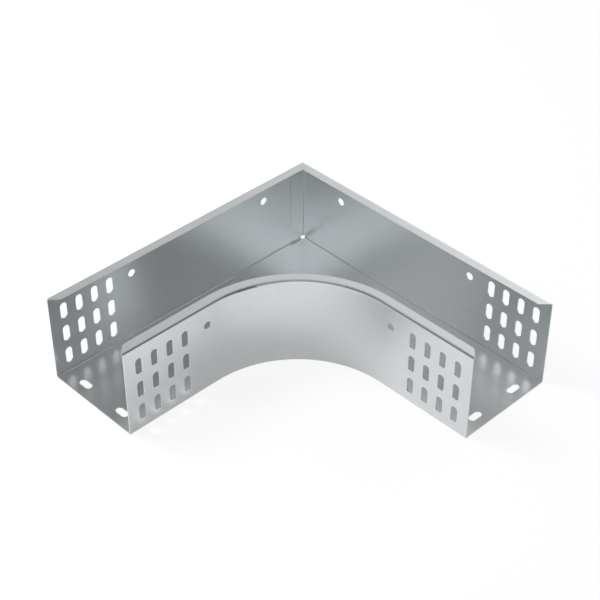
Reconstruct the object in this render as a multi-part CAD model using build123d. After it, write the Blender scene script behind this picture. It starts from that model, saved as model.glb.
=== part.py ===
from build123d import *
from math import degrees
import os

# A flat 90 degree cable tray bend in folded galvanised sheet, with a square outer corner,
# a round inner wall and slotted side walls at both ends.
# It is two pieces of sheet. The tray body is one folded blank: base, both outer walls, their
# top flanges and a corner tab. The inner wall is a rolled strip with a top flange. It stands
# against the round edge of the base and is spot-welded to lugs turned up from the base.
# Lengths are in millimetres. The model is laid out from the sharp outer corner, with one leg
# along +X and the other along +Y, and is moved to its own origin at the end.

# Sheet
sheet = 0.8
bend_inside = 1.4

# Tray
clear_width = 100.0
wall_height = 88.0
leg_length = 300.0
inner_radius = 100.0
flange_width = 10.0

# Corner of the two outer walls
mitre_gap = 0.1
corner_gap = 0.3
corner_tab_width = 17.0
tab_clearance = 0.1
relief_radius = 3.2
relief_inset = 1.1
relief_below_base = 0.2

# Joint slots of the side walls, in columns and rows
slot_width = 7.0
slot_height = 16.5
slot_columns = 4
slot_rows = 3
slot_column_pitch = 16.5
slot_row_pitch = 24.7
slot_from_end = 15.0
slot_row_bottom = 17.3

# Slots across the base at each end
base_slot_width = 7.0
base_slot_length = 14.0
base_slot_pitch = 50.0
base_slot_from_end = 12.0

# Round holes near the top of the walls
hole_diameter = 7.5
hole_height = 67.3
hole_from_corner = 52.0
hole_before_slots = 24.8

# Lugs of the base behind the inner wall
lug_length = 16.0
lug_height = 8.0
lug_from_round = 30.0
lug_notch = 1.5
lug_angles = (15.0, 45.0, 75.0)

# Worked out from the sizes above
bend_outside = bend_inside + sheet
fold_strip = 2 * bend_outside
width = clear_width + 2 * sheet
arc_centre = width + inner_radius
straight_run = leg_length - arc_centre
first_column = leg_length - slot_from_end - (slot_columns - 1) * slot_column_pitch
mitre_bottom = wall_height - fold_strip
through = 4 * sheet

# Where the inner wall's sections stand, with x from its outer face towards the channel
turn_axis = Axis((arc_centre, arc_centre, 0), (0, 0, 1))
turn_start = Plane(turn_axis.position, x_dir=(-1, 0, 0), z_dir=(0, 1, 0))


def run_plane(along):
    """Plane across the straight run of the inner wall, facing the corner."""
    return Plane((along, width, 0), x_dir=(0, -1, 0), z_dir=(-1, 0, 0))


def sheet_section(outside, inside):
    """Section of a folded sheet, from the lines of its outer and its inner face."""
    outer = FilletPolyline(*outside, radius=bend_outside)
    inner = FilletPolyline(*inside, radius=bend_inside)
    ends = Line(outside[0], inside[0]) + Line(outside[-1], inside[-1])
    return make_face(outer + inner + ends)


def block(low, high):
    """Box between its lowest and its highest corner."""
    size = [top - bottom for bottom, top in zip(low, high)]
    return Pos(*low) * Box(*size, align=(Align.MIN, Align.MIN, Align.MIN))


def prism(points, bottom, top):
    """Upright prism over an outline in plan."""
    return Pos(0, 0, bottom) * extrude(make_face(Polyline(*points, close=True)), amount=top - bottom)


def both_legs(shapes):
    """Shapes of the leg along +X, and their images on the leg along +Y."""
    diagonal = Plane(origin=(0, 0, 0), z_dir=(1, -1, 0))
    return [*shapes, *(mirror(shape, about=diagonal) for shape in shapes)]


# Cutters, all for the leg along +X
def wall_slots(outer_face):
    """Joint slots through the side wall whose outer face is given."""
    slot = extrude(Plane.XZ * SlotOverall(slot_height, slot_width, rotation=90), amount=through, both=True)
    columns = [first_column + column * slot_column_pitch for column in range(slot_columns)]
    rows = [slot_row_bottom + row * slot_row_pitch for row in range(slot_rows)]
    return [Pos(along, outer_face, up) * slot for along in columns for up in rows]


def wall_hole(along, outer_face):
    """Round hole through a side wall."""
    return Pos(along, outer_face, hole_height) * Rot(90, 0, 0) * Cylinder(hole_diameter / 2, 2 * through)


def base_slots():
    """Pair of slots across the base, one each side of the middle of the leg."""
    slot = extrude(SlotOverall(base_slot_length, base_slot_width, rotation=90), amount=through, both=True)
    return [
        Pos(leg_length - base_slot_from_end, width / 2 + side * base_slot_pitch / 2, 0) * slot
        for side in (-1, 1)
    ]


def flange_bevel(outer_face, inward):
    """Corner cut off a top flange at the leg's end, at 45 degrees from its fold."""
    fold = outer_face + inward * bend_outside
    reach = 2 * (flange_width - bend_outside)
    edge = fold + inward * reach
    beyond = leg_length + sheet
    outline = [(leg_length, fold), (leg_length - reach, edge), (beyond, edge), (beyond, fold)]
    return prism(outline, wall_height - bend_outside, wall_height + sheet)


# Tray body
def base_plate():
    """Flat L of the base, up to the outer folds and to the inner wall."""
    edge = width - sheet
    straight = Polyline(
        (edge, arc_centre),
        (edge, leg_length),
        (fold_strip, leg_length),
        (fold_strip, fold_strip),
        (leg_length, fold_strip),
        (leg_length, edge),
        (arc_centre, edge),
    )
    round_edge = CenterArc((arc_centre, arc_centre), inner_radius + sheet, 180, 90)
    return extrude(make_face(straight + round_edge), amount=sheet)


def outer_side():
    """Outer wall of the leg along +X, with its base fold and its top flange mitred at the corner."""
    outside = [(fold_strip, 0), (0, 0), (0, wall_height), (flange_width, wall_height)]
    inside = [
        (fold_strip, sheet),
        (sheet, sheet),
        (sheet, wall_height - sheet),
        (flange_width, wall_height - sheet),
    ]
    side = extrude(Plane.YZ * sheet_section(outside, inside), amount=leg_length)
    far = 2 * flange_width
    mitre = [(-far, -far), (far, far), (-far, far)]
    open_mitre = [(x + mitre_gap, y) for x, y in mitre]
    side -= prism(mitre, -sheet, mitre_bottom)
    side -= prism(open_mitre, mitre_bottom, wall_height + sheet)
    return side - flange_bevel(0, 1)


def corner_tab():
    """Tab of the second leg's wall, folded round the corner to lie inside the first leg's wall."""
    outside = [(0, sheet + fold_strip), (0, sheet), (corner_tab_width, sheet)]
    inside = [(sheet, sheet + fold_strip), (sheet, 2 * sheet), (corner_tab_width, 2 * sheet)]
    bottom = relief_radius - relief_below_base + tab_clearance
    return Pos(0, 0, bottom) * extrude(sheet_section(outside, inside), amount=mitre_bottom - bottom)


def folded_corner():
    """Both outer walls, joined by the tab, with the relief hole where their base folds meet."""
    first, second = both_legs([outer_side()])
    first -= block((-sheet, -sheet, -sheet), (sheet + corner_gap, sheet, mitre_bottom))
    second -= block((-sheet, -sheet, -sheet), (bend_outside, sheet + bend_outside, mitre_bottom))
    relief = Pos(relief_inset, relief_inset, -relief_below_base) * Sphere(relief_radius)
    return base_plate() + first + second - relief + corner_tab()


def lug_section(face):
    """Section of a lug, whose outer face stands at the given distance from the section's origin."""
    root = face + fold_strip
    outside = [(root, 0), (face, 0), (face, lug_height)]
    inside = [(root, sheet), (face + sheet, sheet), (face + sheet, lug_height)]
    return sheet_section(outside, inside)


def straight_lug():
    """Lug behind the straight run of the inner wall, and the notch that frees it."""
    start = arc_centre + lug_from_round - lug_length / 2
    face = width - sheet
    notch = block(
        (start - lug_notch, face - bend_outside - lug_notch, -sheet),
        (start + lug_length + lug_notch, width, through),
    )
    return extrude(run_plane(start + lug_length) * lug_section(sheet), amount=lug_length), notch


def round_lug(angle):
    """Lug behind the round of the inner wall, at an angle along it, and its notch."""
    face = inner_radius + sheet
    turn = degrees(lug_length / face)
    notch_turn = degrees((lug_length + 2 * lug_notch) / face)
    notch_section = Rectangle(
        sheet + bend_outside + lug_notch, 2 * through, align=(Align.MIN, Align.CENTER)
    )
    lug = revolve(turn_start * lug_section(face), turn_axis, turn)
    notch = revolve(turn_start * Pos(inner_radius, 0) * notch_section, turn_axis, notch_turn)
    return lug.rotate(turn_axis, angle - turn / 2), notch.rotate(turn_axis, angle - notch_turn / 2)


def tray_body():
    """Base, outer walls and flanges, folded from one blank."""
    lug, notch = straight_lug()
    lugs, notches = zip(*(round_lug(angle) for angle in lug_angles))
    body = folded_corner() - both_legs([notch]) - list(notches) + both_legs([lug]) + list(lugs)
    holes = [wall_hole(along, 0) for along in (hole_from_corner, first_column - hole_before_slots)]
    return body - both_legs([*wall_slots(0), *holes, *base_slots()])


# Inner wall
def inner_wall_section(face):
    """Section of the inner wall, whose outer face stands at the given distance."""
    edge = face + flange_width
    outside = [(face, 0), (face, wall_height), (edge, wall_height)]
    inside = [(face + sheet, 0), (face + sheet, wall_height - sheet), (edge, wall_height - sheet)]
    return sheet_section(outside, inside)


def inner_wall():
    """Rolled strip: two straight runs and a quarter round, with its flange over the channel."""
    run = extrude(run_plane(leg_length) * inner_wall_section(0), amount=straight_run)
    first, second = both_legs([run - flange_bevel(width, -1)])
    round_part = revolve(turn_start * inner_wall_section(inner_radius), turn_axis, 90)
    hole = wall_hole(first_column - hole_before_slots, width)
    return first + round_part + second - both_legs([*wall_slots(width), hole])


os.makedirs("parts", exist_ok=True)
to_origin = Pos(-width / 2, -width / 2, 0)
for name, shape in {"tray_body": tray_body(), "inner_wall": inner_wall()}.items():
    export_step(to_origin * shape, f"parts/{name}.step")
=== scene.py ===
from math import cos, radians, sin

import bpy
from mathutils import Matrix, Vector

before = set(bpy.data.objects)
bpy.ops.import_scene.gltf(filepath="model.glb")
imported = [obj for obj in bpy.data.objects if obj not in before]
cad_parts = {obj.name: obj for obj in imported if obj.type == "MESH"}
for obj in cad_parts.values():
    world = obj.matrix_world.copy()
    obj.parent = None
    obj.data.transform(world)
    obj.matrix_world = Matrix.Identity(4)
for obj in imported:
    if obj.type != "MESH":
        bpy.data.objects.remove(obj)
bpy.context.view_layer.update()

# A flat right-angle cable tray bend in galvanised sheet, on a pale floor in a white studio.
# Lengths are in metres, apart from the camera's lens and sensor in millimetres.

# Camera
camera_place = Vector((0.77713, 0.80010, 0.86466))
camera_turn = radians(225.915)
camera_tilt = radians(-38.513)
camera_lens = 89.37
sensor_width = 36.0
nearest_seen = 0.01
farthest_seen = 50.0

white = (1, 1, 1, 1)

# Floor, just under the tray, and the plain white in it, as the camera and the metal see it
floor_half = 3.0
floor_drop = 0.0002
floor_colour = (0.60, 0.60, 0.60, 1)
floor_white_share = 0.85
floor_white_share_in_metal = 0.20

# Soft box beside the tray, which lights the floor and leaves the tray's shadow in the bend
soft_box_side = 0.6
soft_box_azimuth = -55
soft_box_elevation = 52
soft_box_distance = 1.6
soft_box_power = 28.0

# Soft panels of the studio, and dark flags, which the camera doesn't see and the metal does:
# the level that each adds to the white background, and its place and size in degrees
studio_patches = {
    "front_panel": {"level": 1.40, "azimuth": 54, "elevation": 48, "radius": 19, "soft_edge": 33},
    "far_panel": {"level": 2.00, "azimuth": 175, "elevation": 21, "radius": 12, "soft_edge": 32},
    "side_panel": {"level": 0.80, "azimuth": 285, "elevation": 34, "radius": 5, "soft_edge": 30},
    "dark_side": {"level": -1.20, "azimuth": 100, "elevation": 5, "radius": 18, "soft_edge": 46},
    "dark_back": {"level": -0.68, "azimuth": 252, "elevation": 9, "radius": 11, "soft_edge": 30},
    "dark_ceiling": {"level": -0.66, "azimuth": 15, "elevation": 83, "radius": 33, "soft_edge": 38},
}

# Galvanised sheet: its lightest and its dullest zinc, and how rough it is flat and at a fold
zinc_light = (0.720, 0.740, 0.747, 1)
zinc_dull = (0.640, 0.662, 0.672, 1)
zinc_roughness = 0.28
roughness_spread = 0.03
roughness_at_fold = 0.42

# Pattern of the zinc: crystals, clouding, and fine level lines along the walls
crystal_size = 0.007
crystal_twist = 0.6
crystal_detail = 0.0
crystal_share = 0.30
cloud_size = 0.060
cloud_detail = 3.0
cloud_share = 0.45
line_spacing = 0.0030
line_length = 0.060
line_depth = 0.000002
line_detail = 2.0
line_share = 0.25

# Brings to 1 the product of a face's two squared slopes, which is a quarter halfway round a fold
fold_gain = 4.0

# Each piece of sheet: its place in the pattern, the dark colour painted as shade along its folds,
# and whether it is also folded along an upright line
sheet_pieces = {
    "tray_body": {
        "pattern_place": (0.0, 0.0, 0.0),
        "painted_fold_shade": (0.300, 0.320, 0.330, 1),
        "upright_folds": True,
    },
    "inner_wall": {
        "pattern_place": (0.31, 0.17, 0.23),
        "painted_fold_shade": (0.150, 0.165, 0.170, 1),
        "upright_folds": False,
    },
}

# Sockets of the colour mix node, whose names are used more than once on it
mix_share = 0
mix_first = 6
mix_second = 7
mix_result = 2


def new_node(tree, kind, inputs=None, **settings):
    """Node of a tree, with its settings, and its inputs set to values or joined to sockets."""
    node = tree.nodes.new(kind)
    for name, value in settings.items():
        setattr(node, name, value)
    for key, value in (inputs or {}).items():
        if isinstance(value, bpy.types.NodeSocket):
            tree.links.new(value, node.inputs[key])
        else:
            node.inputs[key].default_value = value
    return node


def maths(tree, operation, *values):
    """Result of a sum on sockets and numbers."""
    return new_node(tree, "ShaderNodeMath", dict(enumerate(values)), operation=operation).outputs[0]


def mix_colours(tree, share, first, second):
    """Colour between the first, at a share of 0, and the second, at a share of 1."""
    inputs = {mix_share: share, mix_first: first, mix_second: second}
    return new_node(tree, "ShaderNodeMix", inputs, data_type="RGBA").outputs[mix_result]


def add_object(name, data):
    """Object of the scene that holds a camera, lamp or mesh."""
    added = bpy.data.objects.new(name, data)
    bpy.context.scene.collection.objects.link(added)
    return added


def direction(azimuth, elevation):
    """Unit vector towards an azimuth and elevation in degrees."""
    turn, rise = radians(azimuth), radians(elevation)
    return Vector((cos(rise) * cos(turn), cos(rise) * sin(turn), sin(rise)))


def add_camera():
    """Camera at the photograph's place, looking along its turn and tilt."""
    lens = bpy.data.cameras.new("view_camera")
    lens.sensor_width = sensor_width
    lens.lens = camera_lens
    lens.clip_start = nearest_seen
    lens.clip_end = farthest_seen
    camera = add_object("view_camera", lens)
    camera.location = camera_place
    camera.rotation_euler = (radians(90) + camera_tilt, 0, camera_turn - radians(90))
    bpy.context.scene.camera = camera


def patch_level(tree, ray, level, azimuth, elevation, radius, soft_edge):
    """Level that a soft round patch adds where the ray points."""
    middle = direction(azimuth, elevation)
    facing = new_node(tree, "ShaderNodeVectorMath", {0: ray, 1: middle}, operation="DOT_PRODUCT")
    fade = new_node(tree, "ShaderNodeMapRange", {
        "Value": maths(tree, "ARCCOSINE", facing.outputs["Value"]),
        "From Min": radians(radius),
        "From Max": radians(radius + soft_edge),
        "To Min": level,
        "To Max": 0.0,
    }, interpolation_type="SMOOTHSTEP")
    return fade.outputs["Result"]


def light_world():
    """White background, in which the metal also mirrors the panels and flags of the studio."""
    world = bpy.data.worlds.new("studio")
    world.use_nodes = True
    tree = world.node_tree
    tree.nodes.clear()
    ray = new_node(tree, "ShaderNodeTexCoord").outputs["Generated"]
    added = 0.0
    for patch in studio_patches.values():
        added = maths(tree, "ADD", added, patch_level(tree, ray, **patch))
    seen = new_node(tree, "ShaderNodeLightPath").outputs["Is Camera Ray"]
    hidden = maths(tree, "SUBTRACT", 1.0, seen)
    level = maths(tree, "MAXIMUM", maths(tree, "MULTIPLY_ADD", added, hidden, 1.0), 0.0)
    studio = new_node(tree, "ShaderNodeBackground", {"Color": white, "Strength": level})
    new_node(tree, "ShaderNodeOutputWorld", {"Surface": studio.outputs[0]})
    bpy.context.scene.world = world


def add_soft_box():
    """Square lamp that faces the tray's origin and isn't mirrored in the metal."""
    lamp = bpy.data.lights.new("soft_box", "AREA")
    lamp.shape = "SQUARE"
    lamp.size = soft_box_side
    lamp.energy = soft_box_power
    soft_box = add_object("soft_box", lamp)
    towards = direction(soft_box_azimuth, soft_box_elevation)
    soft_box.location = soft_box_distance * towards
    soft_box.rotation_euler = towards.to_track_quat("Z", "Y").to_euler()
    soft_box.visible_glossy = False


def floor_material():
    """Nearly plain white to the camera and greyer in the metal, with the tray's shadow on both."""
    material = bpy.data.materials.new("pale_floor")
    material.use_nodes = True
    tree = material.node_tree
    tree.nodes.clear()
    path = new_node(tree, "ShaderNodeLightPath").outputs
    mirrored = maths(tree, "MAXIMUM", path["Is Glossy Ray"], path["Is Transmission Ray"])
    share = maths(tree, "MULTIPLY", mirrored, floor_white_share_in_metal)
    share = maths(tree, "MULTIPLY_ADD", path["Is Camera Ray"], floor_white_share, share)
    mix = new_node(tree, "ShaderNodeMixShader", {
        0: share,
        1: new_node(tree, "ShaderNodeBsdfDiffuse", {"Color": floor_colour}).outputs[0],
        2: new_node(tree, "ShaderNodeEmission", {"Color": white, "Strength": 1.0}).outputs[0],
    })
    new_node(tree, "ShaderNodeOutputMaterial", {"Surface": mix.outputs[0]})
    return material


def add_floor():
    """Square floor around the tray's origin."""
    mesh = bpy.data.meshes.new("floor")
    corners = [(-1, -1), (1, -1), (1, 1), (-1, 1)]
    mesh.from_pydata([(floor_half * x, floor_half * y, 0) for x, y in corners], [], [(0, 1, 2, 3)])
    mesh.materials.append(floor_material())
    floor = add_object("floor", mesh)
    floor.location.z = -floor_drop


def zinc_pattern(tree, pattern_place):
    """Shade of the zinc, from 0 where it is dull to 1 where it is light, and the height of its lines."""
    here = new_node(tree, "ShaderNodeTexCoord").outputs["Object"]
    moved = new_node(tree, "ShaderNodeMapping", {"Vector": here, "Location": pattern_place}).outputs[0]
    stretch = (1 / line_length, 1 / line_length, 1 / line_spacing)
    drawn = new_node(tree, "ShaderNodeMapping", {"Vector": moved, "Scale": stretch}).outputs[0]
    crystal = new_node(tree, "ShaderNodeTexNoise", {
        "Vector": moved,
        "Scale": 1 / crystal_size,
        "Detail": crystal_detail,
        "Distortion": crystal_twist,
    }).outputs[0]
    clouds = {"Vector": moved, "Scale": 1 / cloud_size, "Detail": cloud_detail}
    cloud = new_node(tree, "ShaderNodeTexNoise", clouds).outputs[0]
    lines = {"Vector": drawn, "Scale": 1.0, "Detail": line_detail}
    line = new_node(tree, "ShaderNodeTexNoise", lines).outputs[0]
    shade = maths(tree, "MULTIPLY", crystal, crystal_share)
    shade = maths(tree, "MULTIPLY_ADD", cloud, cloud_share, shade)
    return maths(tree, "MULTIPLY_ADD", line, line_share, shade), line


def fold_share(tree, upright_folds):
    """How much a face turns from one flat to another: 0 on a flat face, 1 halfway round a fold."""
    facing = new_node(tree, "ShaderNodeTexCoord").outputs["Normal"]
    x, y, z = new_node(tree, "ShaderNodeSeparateXYZ", {0: facing}).outputs
    rise = maths(tree, "MULTIPLY", z, z)
    level = maths(tree, "SUBTRACT", 1.0, rise)
    fold = maths(tree, "MULTIPLY", maths(tree, "MULTIPLY", rise, level), fold_gain)
    if upright_folds:
        turn = maths(tree, "MULTIPLY", x, y)
        fold = maths(tree, "MULTIPLY_ADD", maths(tree, "MULTIPLY", turn, turn), fold_gain, fold)
    return maths(tree, "MINIMUM", maths(tree, "MULTIPLY", fold, fold), 1.0)


def galvanised_sheet(name, pattern_place, painted_fold_shade, upright_folds):
    """Satin zinc coat of one piece of sheet, rougher where the sheet is folded, and darkened there with
    painted shade.
    """
    material = bpy.data.materials.new(name)
    material.use_nodes = True
    tree = material.node_tree
    shader = tree.nodes["Principled BSDF"]
    shade, line = zinc_pattern(tree, pattern_place)
    fold = fold_share(tree, upright_folds)
    coat = mix_colours(tree, shade, zinc_dull, zinc_light)
    # Painted shade: the zinc's colour is darkened towards the fold colour halfway round each fold.
    colour = mix_colours(tree, fold, coat, painted_fold_shade)
    tree.links.new(colour, shader.inputs["Base Color"])
    flat = maths(tree, "MULTIPLY_ADD", shade, -roughness_spread, zinc_roughness + roughness_spread / 2)
    rougher = maths(tree, "SUBTRACT", roughness_at_fold, flat)
    tree.links.new(maths(tree, "MULTIPLY_ADD", fold, rougher, flat), shader.inputs["Roughness"])
    relief = new_node(tree, "ShaderNodeBump", {"Height": line, "Distance": line_depth})
    tree.links.new(relief.outputs["Normal"], shader.inputs["Normal"])
    shader.inputs["Metallic"].default_value = 1.0
    return material


add_camera()
light_world()
add_soft_box()
add_floor()
for name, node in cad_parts.items():
    sheet_finish = galvanised_sheet(f"zinc_on_{name}", **sheet_pieces[name])
    for slot in node.material_slots:
        slot.material = sheet_finish

bpy.context.scene.view_settings.view_transform = "Standard"
